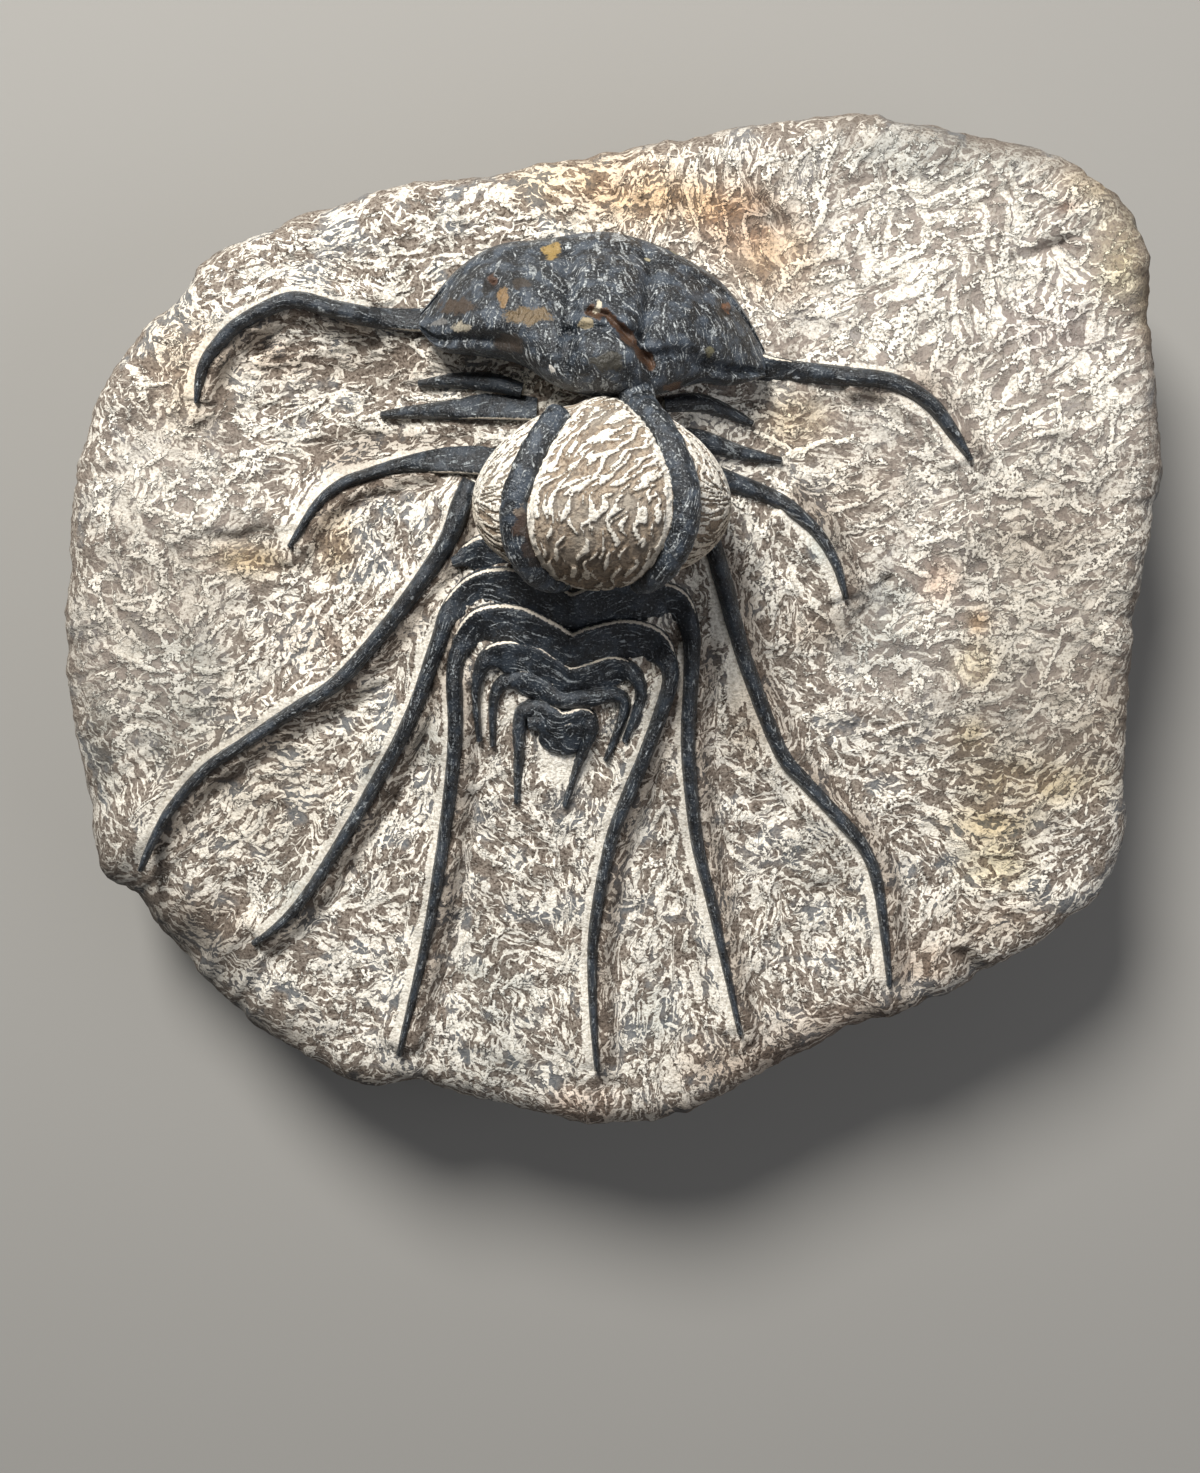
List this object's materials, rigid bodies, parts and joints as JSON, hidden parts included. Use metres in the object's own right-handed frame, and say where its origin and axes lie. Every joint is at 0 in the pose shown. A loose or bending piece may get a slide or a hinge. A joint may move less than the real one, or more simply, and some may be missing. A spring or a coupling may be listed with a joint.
{
  "type": "horned trilobite fossil in a limestone block",
  "caption": "Dicranurus monstrosus trilobite with long curved spines and coiled horns, lying face up in its prepared limestone block, which rests on a flat sawn back.",
  "frame": {"origin": "middle of the block's flat underside", "axes": "+Z out of the prepared face, +Y towards the animal's head, +X to the right as the face is looked at with the head up"},
  "size_m": [0.1559, 0.1451, 0.0665],
  "materials": {
    "limestone": "matt buff limestone, hand-prepared, with a fine network of pale scrape marks over brown hollows",
    "fossil_shell": "blue-black calcite shell with a dull satin sheen and fine pale scratches"
  },
  "bodies": {
    "root": {"limestone_block": "limestone", "cephalon": "fossil_shell", "left_horn": "fossil_shell", "thorax_segment_1_left_end": "fossil_shell", "thorax_segment_1_right_end": "fossil_shell", "thorax_segment_2_left_end": "fossil_shell", "thorax_segment_2_right_end": "fossil_shell", "thorax_segment_3_left_end": "fossil_shell", "thorax_segment_3_right_end": "fossil_shell", "thorax_segment_4_left_end": "fossil_shell", "thorax_segment_4_right_end": "fossil_shell", "thorax_segment_5": "fossil_shell", "thorax_segment_6": "fossil_shell", "thorax_segment_7": "fossil_shell", "thorax_segment_8": "fossil_shell", "pygidium": "fossil_shell"}
  },
  "joints": []
}
